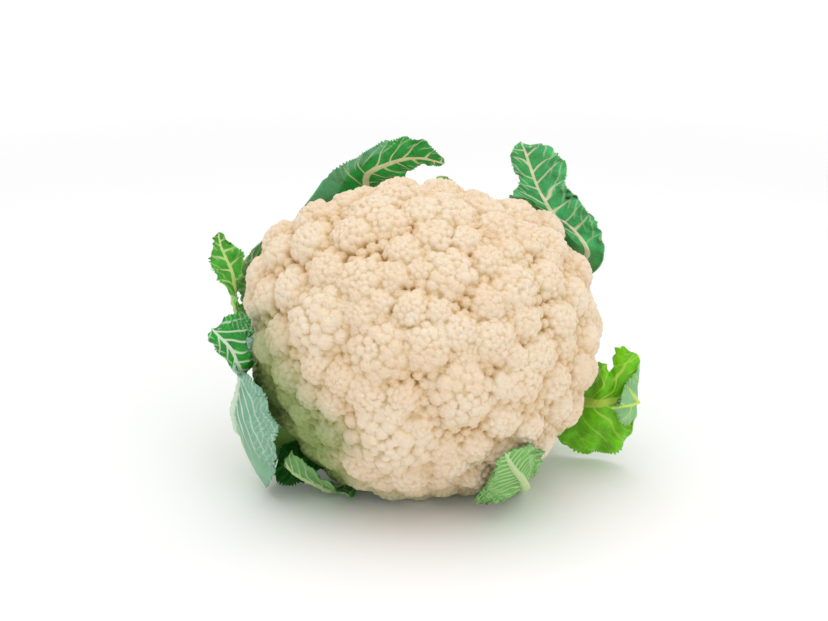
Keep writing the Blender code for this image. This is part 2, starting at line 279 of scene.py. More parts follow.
# Each leaf's cross lines from the stalk to the tip: left margin, midrib, right margin
LEAVES = {
    "leaf_top_left": (
        station(343, 157, 80, 12, 12),
        station(342, 132, 90, 15, 15),
        station(339, 108, 93, 20, 24),
        ((-55, 72, 128), (-27, 84, 126), (-13, 84, 126)),
        ((-42, 74, 144), (-26, 77, 138), (-19, 78, 135)),
        ((-30, 72, 151.5), (-24, 72, 144), (-14, 74, 139)),
        ((-18, 68, 160), (-17, 68, 148.5), (-8, 70, 142)),
        ((-7, 62, 164), (-7, 64, 153), (-4, 66, 147)),
        ((4, 57, 163), (3, 60, 154.5), (4, 62, 151)),
        ((13, 55, 155.5), (13, 56, 153), (11, 56, 151)),
    ),
    "leaf_top_back": (
        station(15, 154, 70, 8, 8),
        station(14, 130, 78, 10, 10),
        station(12, 108, 90, 13, 13),
        ((6, 83, 128), (15, 85, 127), (24, 83, 125)),
        ((10, 75, 136), (14, 75, 141), (23, 74, 134)),
    ),
    "leaf_top_right": (
        station(48, 157, 80, 12, 12),
        station(50, 132, 90, 15, 15),
        station(56, 108, 94, 24, 22),
        ((64, 62, 114), (84, 58, 104), (90, 54, 101)),
        ((52, 56, 125), (76, 57, 120), (90, 54, 117)),
        ((44, 50, 133), (67, 55, 127), (85, 54, 127)),
        ((46, 50, 139), (62, 54, 135), (78, 54, 135)),
        ((50, 53, 144), (58, 54, 142.5), (72, 54, 143)),
        ((46.5, 53, 152), (54, 52, 154), (71, 52, 155)),
        ((45.5, 52, 159.5), (51.5, 50, 161.5), (63, 50, 162.5)),
        ((46.5, 50, 165), (49.5, 49, 166), (56, 50, 165)),
    ),
    "leaf_left": (
        station(292, 154, 70, 8, 8),
        station(291, 130, 78, 9, 9),
        station(291, 112, 91, 9, 9),
        ((-86, 28, 90), (-86.5, 35, 86), (-87, 42, 84)),
        ((-91, 31, 96), (-89, 35, 95), (-87.5, 38, 93)),
        ((-98, 33, 104), (-90, 35, 104), (-87, 36, 101)),
        ((-100, 34, 110), (-93, 35, 112), (-84, 35, 113)),
        ((-98.5, 34, 119), (-95, 34, 118), (-90, 34, 118)),
        ((-98, 33, 124), (-96, 33, 125.5), (-93, 33, 125)),
    ),
    "leaf_left_lower": (
        station(256, 157, 80, 11, 11),
        station(256, 132, 92, 13, 13),
        ((-74, 8, 2.2), (-83.5, 11, 30), (-76, 28, 42)),
        ((-69, -8, 17), (-86, 3, 40), (-76, 23, 53)),
        ((-67.5, -19, 35), (-87, 0, 47), (-77, 18, 61)),
        ((-66.5, -23, 49), (-85, -1, 55), (-74, 10, 70)),
        ((-72, -18, 62), (-83.5, -1, 62), (-71, 2, 77)),
        ((-79, -10, 67.5), (-83.5, -3, 67), (-70, -2, 83)),
        ((-86, -5, 70), (-85.5, -4, 73), (-71, -3, 89)),
        ((-92.5, -4, 76), (-88, -5, 80), (-76, -2, 94)),
        ((-97, -4, 82.5), (-93, -5, 86), (-85, -1, 96)),
        ((-99, -4, 88), (-97, -4, 90), (-94, -3, 92)),
    ),
    "leaf_floor_dark": (
        station(226, 153, 68, 8, 8),
        ((-38, 40, 5), (-41, 43, 13), (-43, 48, 22)),
        ((-52, 25, 2.5), (-54, 31, 9), (-55, 38, 18)),
        ((-59, 13, 2), (-62, 19, 8), (-63, 26, 18)),
        ((-66, 14, 2), (-67, 19, 8), (-67, 23, 16)),
        ((-71, 17, 2.5), (-71, 19, 6), (-70, 21, 11)),
    ),
    "leaf_bottom_left": (
        station(196, 151, 68, 8, 8),
        ((-14, 28, 7), (-20, 32, 5.5), (-26, 34, 3)),
        ((-26, 6, 7), (-32, 13, 4.2), (-36, 17, 2)),
        ((-35, -11, 16.5), (-42, 2, 4.8), (-44, 10, 3)),
        ((-42, -12, 22.5), (-47.5, -1, 8), (-48, 7, 5)),
        ((-50, -13, 25.5), (-54, -4, 12.5), (-56, 2, 11)),
        ((-57, -11, 29), (-60.5, -7, 18.5), (-62, -3, 18)),
        ((-62, -9, 29), (-63.5, -8, 24), (-64, -7, 23.5)),
    ),
    "leaf_bottom_right": (
        station(152, 154, 71, 10, 10),
        ((30, 46, 17), (25, 40, 11), (18, 33, 7)),
        ((46, 30, 13), (40, 23, 9), (33, 17, 5.5)),
        ((53, 8, 14), (48, 3, 9.5), (41, -3, 5.5)),
        ((54, -10, 22), (50, -14, 14), (40, -18, 8)),
        ((55, -20, 30), (48, -24, 23), (32, -23, 9)),
        ((57, -26, 35), (44.5, -34, 31.5), (27, -25, 11)),
        ((57, -31, 39.5), (42, -40, 37.5), (32, -38, 24)),
        ((50, -41, 46), (40.5, -44, 42), (35.5, -45, 37)),
        ((43, -45, 47.5), (39.5, -46, 45), (36.5, -47, 43)),
    ),
    "leaf_right": (
        station(106, 157, 80, 12, 12),
        station(106, 132, 92, 14, 14),
        ((79, 47, 44), (78, 50, 31), (67, 54, 14)),
        ((86, 43, 42), (84, 42, 33), (73, 51, 7)),
        ((88, 39, 50), (88, 36, 35), (80, 50, 4.5)),
        ((90, 35, 58), (92, 33, 36.5), (88, 46, 2.6)),
        ((95, 35, 52), (97, 33, 38), (95, 46, 4.5)),
        ((98, 35, 65), (101, 33, 38), (101, 41, 7)),
        ((105, 34, 64), (105, 32, 38), (105, 39, 14)),
        ((108, 32, 57), (108, 30, 38), (108, 33, 26)),
        ((103, 27, 49), (102, 26, 38), (102, 28, 28)),
        ((96, 25, 40), (95, 25, 37.5), (96, 26, 34)),
    ),
    "leaf_back_right": (
        station(78, 154, 70, 8, 8),
        station(80, 130, 77, 10, 10),
        station(84, 112, 86, 13, 13),
        station(85, 102, 89, 13, 13),
    ),
    "leaf_back_left": (
        station(303, 157, 80, 9, 9),
        station(305, 132, 95, 12, 12),
        station(309, 113, 99, 15, 14),
        station(310, 104, 99, 14, 13),
    ),
}


def wobble(points, size, seed):
    """A smooth random value from about -1 to 1 at each point, varying over that size."""
    draw = np.random.default_rng(seed)
    total = np.zeros(points.shape[:-1])
    for _ in range(7):
        way = unit(draw.normal(size=3)) * draw.uniform(0.7, 1.5) * math.tau / size
        total += np.sin(points @ way + draw.uniform(0, math.tau))
    return total / 3.2


def rim_radius(clock):
    """The rim's radius, eased from one hour's value to the next."""
    hour = (clock % 360) / 30
    low = hour.astype(int) % 12
    blend = (1 - np.cos(math.pi * (hour - np.floor(hour)))) / 2
    return RIM_RADII[low] * (1 - blend) + RIM_RADII[(low + 1) % 12] * blend


def dome_radius(way):
    """The smooth dome under the florets, and the cone of branches behind the rim."""
    across = np.hypot(way[..., 0], way[..., 1])
    rim = rim_radius(np.degrees(np.arctan2(way[..., 0], way[..., 1])))
    height = way[..., 2]
    dome = (across / rim) ** SQUARENESS + (np.abs(height) / CROWN_HEIGHT) ** SQUARENESS
    dome = dome ** (-1 / SQUARENESS)
    behind = np.minimum(height, -1e-9)
    cone = np.minimum(UNDER_DEPTH / (UNDER_RISE * across - behind), UNDER_FLAT / -behind)
    return np.where(height < 0, np.minimum(dome, cone), dome)


def all_florets():
    """The named florets, then a golden-angle spiral that fills the space between them."""
    ways = [heading(clock, polar) for polar, clock, _ in FLORETS]
    sizes = [float(radius) for _, _, radius in FLORETS]
    lowest = math.cos(math.radians(FILL_END))
    for i in range(FILL_FLORETS):
        height = 1 - (1 - lowest) * (i + 0.5) / FILL_FLORETS
        polar = math.degrees(math.acos(height))
        way = heading(i * GOLDEN, polar)
        radius = 6.0 + 3.5 * polar / 90
        apart = np.arccos(np.clip(np.array(ways) @ way, -1, 1)) * FILL_SPACING
        if (apart > FILL_OVERLAP * (radius + np.array(sizes))).all():
            ways.append(way)
            sizes.append(radius)
    return np.array(ways), np.array(sizes)


FLORET_WAYS, FLORET_SIZES = all_florets()
FLORET_PLACES = dome_radius(FLORET_WAYS) - FLORET_SIZES * (1 - FLORET_CREST)


def curd_radius(ways):
    """Distance from the centre to the CAD's outermost floret or valley, for each direction."""
    along = ways @ (FLORET_WAYS * FLORET_PLACES[:, None]).T
    inside = FLORET_SIZES**2 - (FLORET_PLACES**2 - along**2)
    reach = np.where(inside > 0, along + np.sqrt(np.maximum(inside, 0)), 0)
    return np.maximum(reach.max(axis=-1), dome_radius(ways) * VALLEY)


def studs(axis, radius, reach, small, large, packing, turn):
    """Directions and sizes of studs that spiral out over a ball from its axis, small to large.

    reach is how far round the ball they go, packing the area that each takes in squares of its
    size, and turn where the spiral starts.
    """
    polar = np.linspace(0, math.radians(reach), 160)
    size = small + (large - small) * polar / polar[-1]
    crowd = math.tau * radius**2 * np.sin(polar) / (packing * size**2)
    count = np.concatenate(((0,), np.cumsum((crowd[1:] + crowd[:-1]) / 2 * np.diff(polar))))
    order = np.arange(int(count[-1]) + 1)
    p = np.interp(order + 0.35, count, polar)
    c = np.radians(order * GOLDEN + turn)
    first = unit(np.cross(axis, (0.31, 0.52, 0.79)))
    second = np.cross(axis, first)
    ring = np.cos(c)[:, None] * first + np.sin(c)[:, None] * second
    ways = np.cos(p)[:, None] * axis + np.sin(p)[:, None] * ring
    return ways, np.interp(p, polar, size)


def curd_balls():
    """Every floret, lobe and bead of the curd, and the branches under it: centres and radii."""
    draw = np.random.default_rng(7)
    centres, radii = [], []

    def keep(points, sizes):
        centres.append(points)
        radii.append(sizes)

    def bead(point, towards, lobe, sunk):
        """Beads all over a lobe's outer side, sunk into it by that share of their size."""
        small, large = BEAD_SIZES
        turn = draw.uniform(0, 360)
        spots, beads = studs(towards, lobe, BEAD_REACH, small, large, BEAD_PACKING, turn)
        beads = beads * draw.uniform(0.85, 1.12, len(beads))
        spots = unit(spots + draw.normal(0, 0.05, spots.shape))
        keep(point + spots * (lobe - beads * sunk)[:, None], beads)

    for i, (way, place, size) in enumerate(zip(FLORET_WAYS, FLORET_PLACES, FLORET_SIZES)):
        ball = size * FLORET_SWELL
        sink = FLORET_SINK if i < len(FLORETS) else FILL_SINK
        middle = way * (place + size - ball - sink)
        keep(middle[None], np.array((ball * 0.93,)))
        limits = (LOBE_APEX, LOBE_RIM)
        small, large = (min(max(least, share * size), most) for least, share, most in limits)
        reach = RIM_REACH if way[2] < math.cos(math.radians(RIM_FROM)) else FLORET_REACH
        ways, lobes = studs(way, ball, reach, small, large, LOBE_PACKING, draw.uniform(0, 360))
        lobes = lobes * draw.uniform(0.78, 1.25, len(lobes))
        seats = ball - lobes * draw.uniform(0.50, 0.72, len(lobes))
        ways = unit(ways + draw.normal(0, 0.035, ways.shape))
        points = middle + ways * seats[:, None]
        keep(points, lobes * 0.96)
        for point, towards, lobe in zip(points, ways, lobes):
            if lobe > BEADED:
                bead(point, towards, lobe, LOBE_BEAD_SUNK)
    lowest = math.cos(math.radians(FILL_END))
    order = (np.arange(FILLERS) + 0.5) / FILLERS
    ways = heading(np.arange(FILLERS) * GOLDEN, np.degrees(np.arccos(1 - (1 - lowest) * order)))
    lobes = FILLER_SIZE * draw.uniform(0.8, 1.2, FILLERS)
    points = ways * (dome_radius(ways) * FILLER_SEAT - lobes * 0.5)[:, None]
    keep(points, lobes)
    for point, towards, lobe in zip(points, ways, lobes):
        bead(point, towards, lobe, FILLER_BEAD_SUNK)
    for k in range(BRANCHES):
        clock = 360 * k / BRANCHES + draw.uniform(-6, 6)
        foot = heading(clock, 155) * 56
        tip = heading(clock + draw.uniform(-4, 4), 106)
        tip = tip * (dome_radius(tip) - BRANCH_SUNK)
        s = np.linspace(0, 1, 30)[:, None]
        bow = heading(clock, 128) * 3.0 * (s * (1 - s)) * 4
        keep(foot * (1 - s) + tip * s + bow, (5.0 + 4.0 * s[:, 0]) * draw.uniform(0.9, 1.15))
    return np.concatenate(centres), np.concatenate(radii)


def grid_quads(grid):
    """The quads between a grid's vertices, which it gives by their numbers."""
    ring = (grid[:-1, :-1], grid[1:, :-1], grid[1:, 1:], grid[:-1, 1:])
    return np.stack([part.ravel() for part in ring], -1)


def cube_patches():
    """The six patches of a cube blown up to a sphere: (forward, across, up) triads."""
    axes = np.eye(3)
    for i in range(3):
        for sign in (1, -1):
            forward, across = axes[i] * sign, axes[(i + 1) % 3]
            yield forward, across, np.cross(forward, across)


def crowded(ways):
    """Directions drawn towards the crown, so that the front of the mesh is the finest."""
    return unit(ways + np.array((0, 0, CROWD)))


def uncrowded(ways):
    """The directions that crowded() takes to these."""
    along = CROWD * ways[:, 2]
    scale = along + np.sqrt(along**2 + 1 - CROWD**2)
    return ways * scale[:, None] - np.array((0, 0, CROWD))


def curd_patch(triad, centres, radii):
    """One patch's directions, and how far the balls reach along each."""
    quarter = math.pi / 4
    step = 2 * quarter / CUBE_STEPS
    angle = np.linspace(-quarter, quarter, CUBE_STEPS + 1)
    a, b = np.meshgrid(np.tan(angle), np.tan(angle), indexing="ij")
    forward, across, up = triad
    raw = unit(forward + a[..., None] * across + b[..., None] * up)
    ways = crowded(raw)
    reach = dome_radius(ways) * DEEP_VALLEY

    distance = np.linalg.norm(centres, axis=1)
    seen = uncrowded(centres / distance[:, None])
    ahead = seen @ forward
    ball_a = np.arctan2(seen @ across, ahead)
    ball_b = np.arctan2(seen @ up, ahead)
    spread = np.arcsin(np.minimum(radii / distance, 0.95)) * 1.75
    edge = quarter + spread
    near = (ahead > 0.15) & (np.abs(ball_a) < edge) & (np.abs(ball_b) < edge)

    def cells(ball):
        """The first and last cell that a ball at that angle may reach."""
        first = np.floor((ball - spread + quarter) / step).astype(int)
        last = np.ceil((ball + spread + quarter) / step).astype(int) + 1
        return np.maximum(first, 0), np.minimum(last, CUBE_STEPS + 1)

    (low_a, high_a), (low_b, high_b) = cells(ball_a), cells(ball_b)
    for i in np.flatnonzero(near):
        window = (slice(low_a[i], high_a[i]), slice(low_b[i], high_b[i]))
        along = ways[window] @ centres[i]
        inside = radii[i] ** 2 - (distance[i] ** 2 - along * along)
        far = along + np.sqrt(np.maximum(inside, 0))
        reach[window] = np.maximum(reach[window], np.where(inside > 0, far, 0))
    return ways, reach


def patch_mesh():
    """The blown-up cube as one mesh: directions, reaches, quads and each quad corner's UV."""
    centres, radii = curd_balls()
    ways, reaches, corners, uvs = [], [], [], []
    side = CUBE_STEPS + 1
    quads = grid_quads(np.arange(side * side).reshape(side, side))
    place = np.stack(np.meshgrid(np.arange(side), np.arange(side), indexing="ij"), -1)
    place = place.reshape(-1, 2) / CUBE_STEPS
    for i, triad in enumerate(cube_patches()):
        way, reach = curd_patch(triad, centres, radii)
        ways.append(way.reshape(-1, 3))
        reaches.append(reach.ravel())
        corners.append(quads + i * side * side)
        tile = np.array((i % 3, i // 3)) + 0.01 + 0.98 * place
        uvs.append((tile / np.array((3, 2)))[quads.ravel()])
    ways, reaches = np.concatenate(ways), np.concatenate(reaches)
    # Patches share the vertices of their seams, which are found by their rounded directions
    code = np.round((ways + 1.5) * 2**18).astype(np.int64)
    code = (code[:, 0] << 40) + (code[:, 1] << 20) + code[:, 2]
    _, first, index = np.unique(code, return_index=True, return_inverse=True)
    quads = index.reshape(-1)[np.concatenate(corners)]
    return ways[first], reaches[first], quads, np.concatenate(uvs)


def neighbours(quads):
    """Each mesh edge once, as two columns of vertices."""
    ends = np.concatenate([quads[:, [i, (i + 1) % 4]] for i in range(4)])
    ends = np.sort(ends, axis=1)
    code = np.unique(ends[:, 0].astype(np.int64) * (quads.max() + 1) + ends[:, 1])
    return np.stack(np.divmod(code, quads.max() + 1), -1)


def relaxed(values, edges, rounds):
    """Values averaged with their neighbours' so many times."""
    a, b = edges.T
    n = len(values)
    links = np.bincount(a, minlength=n) + np.bincount(b, minlength=n)
    for _ in range(rounds):
        total = np.bincount(a, values[b], n) + np.bincount(b, values[a], n)
        values = 0.5 * values + 0.5 * total / links
    return values


def mesh_object(name, points, faces, uvs, look, **masks):
    """A smooth-shaded mesh of quads with its bake map and its material's masks."""
    mesh = bpy.data.meshes.new(name)
    mesh.vertices.add(len(points))
    mesh.vertices.foreach_set("co", (points * MM).astype(np.float32).ravel())
    mesh.loops.add(faces.size)
    mesh.loops.foreach_set("vertex_index", faces.ravel().astype(np.int32))
    mesh.polygons.add(len(faces))
    mesh.polygons.foreach_set("loop_start", np.arange(0, faces.size, 4, dtype=np.int32))
    layer = mesh.uv_layers.new(name="OFBake")
    layer.uv.foreach_set("vector", uvs.astype(np.float32).ravel())
    for mask, values in masks.items():
        made = mesh.attributes.new(mask, "FLOAT", "POINT")
        made.data.foreach_set("value", values.astype(np.float32))
    mesh.update(calc_edges=True)
    mesh.validate()
    mesh.shade_smooth()
    mesh.materials.append(look)
    made = bpy.data.objects.new(name, mesh)
    bpy.context.scene.collection.objects.link(made)
    return made


def piece(made, node):
    """Says that a mesh takes a CAD node's place."""
    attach(made, "root")
    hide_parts(node)


class Nodes:
    """A material's node tree, built a line at a time."""

    def __init__(self, name):
        self.material = bpy.data.materials.new(name)
        self.material.use_nodes = True
        self.tree = self.material.node_tree
        self.shader = self.tree.nodes["Principled BSDF"]
        self.place = self.add("ShaderNodeTexCoord").outputs["Object"]

    def add(self, kind, **settings):
        node = self.tree.nodes.new(kind)
        for name, value in settings.items():
            setattr(node, name, value)
        return node

    def link(self, source, socket):
        """Joins a socket to another's output, or gives it a colour or a number."""
        if isinstance(source, bpy.types.NodeSocket):
            self.tree.links.new(source, socket)
        else:
            socket.default_value = (*source, 1) if isinstance(source, tuple) else source

    def mask(self, name):
        return self.add("ShaderNodeAttribute", attribute_name=name).outputs["Fac"]

    def noise(self, size, detail=4.0, rough=0.55):
        """Noise of that size in millimetres."""
        node = self.add("ShaderNodeTexNoise")
        self.link(self.place, node.inputs["Vector"])
        node.inputs["Scale"].default_value = 1 / (size * MM)
        node.inputs["Detail"].default_value = detail
        node.inputs["Roughness"].default_value = rough
        return node.outputs["Fac"]

    def cells(self, size):
        """The distance to the edge of random cells of that size in millimetres."""
        node = self.add("ShaderNodeTexVoronoi", feature="DISTANCE_TO_EDGE")
        self.link(self.place, node.inputs["Vector"])
        node.inputs["Scale"].default_value = 1 / (size * MM)
        return node.outputs["Distance"]

    def ramp(self, source, low, high, to_low=0.0, to_high=1.0):
        """Eases from to_low to to_high as the source goes from low to high."""
        node = self.add("ShaderNodeMapRange", interpolation_type="SMOOTHSTEP")
        self.link(source, node.inputs["Value"])
        for socket, value in zip(list(node.inputs)[1:5], (low, high, to_low, to_high)):
            socket.default_value = value
        return node.outputs["Result"]

    def mix(self, share, first, second):
        node = self.add("ShaderNodeMix", data_type="RGBA")
        self.link(share, node.inputs["Factor"])
        self.link(first, node.inputs[6])
        self.link(second, node.inputs[7])
        return node.outputs[2]

    def bump(self, height, depth, below=None):
        """A normal from a height, 1 being that depth in millimetres, over another bump."""
        node = self.add("ShaderNodeBump")
        node.inputs["Strength"].default_value = 1.0
        node.inputs["Distance"].default_value = depth * MM
        self.link(height, node.inputs["Height"])
        if below is not None:
            self.link(below, node.inputs["Normal"])
        return node.outputs["Normal"]

    def finish(self, colour, rough, normal, glow=0.0, depth=1.0, tint=(1.0, 0.5, 0.25)):
        """The material; glow is how much light goes under the surface, and depth how far in mm."""
        inputs = self.shader.inputs
        self.link(colour, inputs["Base Color"])
        self.link(rough, inputs["Roughness"])
        self.link(normal, inputs["Normal"])
        inputs["Subsurface Weight"].default_value = glow
        inputs["Subsurface Scale"].default_value = depth * MM
        inputs["Subsurface Radius"].default_value = tint
        inputs["Specular IOR Level"].default_value = 0.35
        return self.material


def curd_look():
    n = Nodes("curd")
    patches = n.ramp(n.noise(22, 3), 0.35, 0.65)
    colour = n.mix(patches, CURD_CREAM, CURD_WARM)
    colour = n.mix(n.ramp(n.noise(5, 5), 0.45, 0.75, 0, 0.35), colour, CURD_PALE)
    # Painted shade in the creases and the deep valleys between florets
    colour = n.mix(n.ramp(n.mask("crease"), 0.03, 0.45, 0, 0.58), colour, CURD_CREASE_SHADE)
    colour = n.mix(n.ramp(n.mask("hollow"), 0.3, 1.1, 0, 0.7), colour, CURD_HOLLOW_SHADE)
    # Painted green shade and reflection of the leaves at the lower left, over the curd's own green
    # tint towards the rim
    colour = n.mix(n.ramp(n.mask("green"), 0.0, 1.0, 0, 0.85), colour, CURD_GREEN_AND_SHADE)
    colour = n.mix(n.mask("stem"), colour, CURD_STEM)
    fine = n.bump(n.noise(0.8, 3), 0.12)
    return n.finish(colour, n.ramp(n.noise(3), 0.3, 0.7, 0.48, 0.66), fine, 0.25, 1.2)


def build_curd():
    ways, reach, quads, uvs = patch_mesh()
    edges = neighbours(quads)
    reach = relaxed(reach, edges, 2)
    near = relaxed(reach, edges, 10)    # the mean surface round each point, close by
    wide = relaxed(near, edges, 90)     # and farther off
    polar = np.degrees(np.arccos(np.clip(ways[:, 2], -1, 1)))
    grown = reach + GRAIN * wobble(ways * reach[:, None], 4.2, 3)
    points = placed(ways * grown[:, None])
    points[:, 2] = np.maximum(points[:, 2], 0)
    clock = np.degrees(np.arctan2(ways[:, 0], ways[:, 1])) % 360 + 5 * wobble(points, 30, 8)
    # Painted shade and green reflection of the leaves over the lower left, then the curd's own
    # green tint towards the rim and underneath
    green = smooth(*SHADE_GREEN_FROM, clock) * smooth(*SHADE_GREEN_TO, clock) * smooth(*SHADE_GREEN_DOWN, polar)
    green = 0.95 * green + 0.5 * smooth(84, 108, polar)
    made = mesh_object(
        "curd", points, quads, uvs, curd_look(),
        # Masks of painted shade: the curd's creases, and how deep it lies under the dome
        crease=(near - reach) + 0.5 * (wide - near),
        hollow=(dome_radius(ways) - reach) / 6,
        green=np.clip(green, 0, 1),
        stem=smooth(108, 122, polar + 3 * wobble(points, 18, 5)),
    )
    piece(made, "curd")


def spline(knots, t):
    """Points of a Catmull-Rom curve through the knots, t from 0 to 1 along it."""
    last = len(knots) - 1
    place = np.asarray(t) * last
    i = np.minimum(place.astype(int), last - 1)
    f = (place - i).reshape((-1,) + (1,) * (knots.ndim - 1))
    ends = (2 * knots[:1] - knots[1:2], knots, 2 * knots[-1:] - knots[-2:-1])
    full = np.concatenate(ends)
    a, b, c, d = full[i], full[i + 1], full[i + 2], full[i + 3]
    return (
        2 * b + (c - a) * f + (2 * a - 5 * b + 4 * c - d) * f**2 + (3 * b - a - 3 * c + d) * f**3
    ) / 2


def off_the_curd(points):
    """The points, moved out along their own radii where they would come too near the curd."""
    arms = (points - CENTRE) @ HEAD
    length = np.linalg.norm(arms, axis=-1)
    way = arms / length[..., None]
    across = unit(np.cross(way, (0.31, 0.52, 0.79))) * NEARBY
    up = np.cross(way, across)
    around = (way, way + across, way - across, way + up, way - up)
    least = np.max([curd_radius(unit(near)) for near in around], axis=0) + LEAF_OFF_CURD
    return placed(way * np.maximum(length, least)[..., None])


def loft(lines, rows, columns):
    """A leaf's smooth sheet through its cross lines, as a rows by columns grid of points."""
    rails = np.array(lines, float)
    sections = spline(rails, np.linspace(0, 1, LEAF_ROWS + 1))
    left, mid, right = (sections[:, k, None] for k in range(3))
    u = np.linspace(-1, 1, LEAF_COLUMNS + 1)[None, :, None]
    coarse = off_the_curd(mid + (right - left) * u / 2 + (right + left - 2 * mid) * u * u / 2)
    tall = spline(coarse, np.linspace(0, 1, rows))
    return spline(tall.transpose(1, 0, 2), np.linspace(0, 1, columns)).transpose(1, 0, 2)


def leaf_look(name, inner, outer, vein):
    n = Nodes(name)
    inside, veins, base = n.mask("inside"), n.mask("vein"), n.mask("base")
    blotch = n.ramp(n.noise(7, 5), 0.3, 0.7)
    dark = tuple(0.62 * c for c in inner)
    bloom = tuple(0.82 * c for c in outer)
    colour = n.mix(inside, n.mix(blotch, bloom, outer), n.mix(blotch, dark, inner))
    net = n.ramp(n.cells(1.8), 0.0, 0.08, 0.06, 0.0)
    colour = n.mix(net, colour, vein)
    colour = n.mix(n.ramp(n.noise(1.6, 3), 0.5, 0.8, 0, 0.08), colour, vein)
    colour = n.mix(n.ramp(base, 0.0, 1.0, 0, 0.75), colour, LEAF_BASE)
    colour = n.mix(n.ramp(veins, 0.12, 0.95, 0, 0.92), colour, vein)
    quilt = n.bump(n.cells(1.8), 0.15)
    fine = n.bump(n.noise(0.8, 4), 0.12, quilt)
    rough = n.ramp(inside, 0, 1, 0.55, 0.36)
    return n.finish(colour, rough, fine, 0.18, 0.8, (0.6, 1.0, 0.3))


def leaf_faces(rows, columns):
    """The quads of a leaf's skin: inner side, outer side and the four strips between them."""
    inner = np.arange(rows * columns).reshape(rows, columns)
    outer = inner + rows * columns

    def side(grid):
        ring = (grid[:-1, :-1], grid[:-1, 1:], grid[1:, 1:], grid[1:, :-1])
        return np.stack([part.ravel() for part in ring], -1)

    def strip(first, second):
        return np.stack((first[:-1], first[1:], second[1:], second[:-1]), -1)

    return (
        side(inner)[:, ::-1],
        side(outer),
        strip(inner[0], outer[0]),
        strip(inner[:, -1], outer[:, -1]),
        strip(inner[-1, ::-1], outer[-1, ::-1]),
        strip(inner[::-1, 0], outer[::-1, 0]),
    )


def leaf_uvs(faces, u, t):
    """The bake map of those quads: the two sides next to each other, the strips above them."""
    flat = np.stack((u / 2 + 0.5, t), -1).reshape(-1, 2)
    inner = flat * (0.49, 0.90) + (0.005, 0.005)
    outer = flat * (0.49, 0.90) + (0.505, 0.005)
    uvs = [inner[faces[0].ravel()], np.concatenate((flat, outer))[faces[1].ravel()]]
    for k, strip in enumerate(faces[2:]):
        run = np.linspace(0, 1, len(strip) + 1)
        low, high = 0.92 + 0.018 * k, 0.935 + 0.018 * k
        corners = ((run[:-1], low), (run[1:], low), (run[1:], high), (run[:-1], high))
        quad = np.stack([np.stack((a, np.full_like(a, b)), -1) for a, b in corners], 1)
        uvs.append(quad.reshape(-1, 2))
    return np.concatenate(uvs)


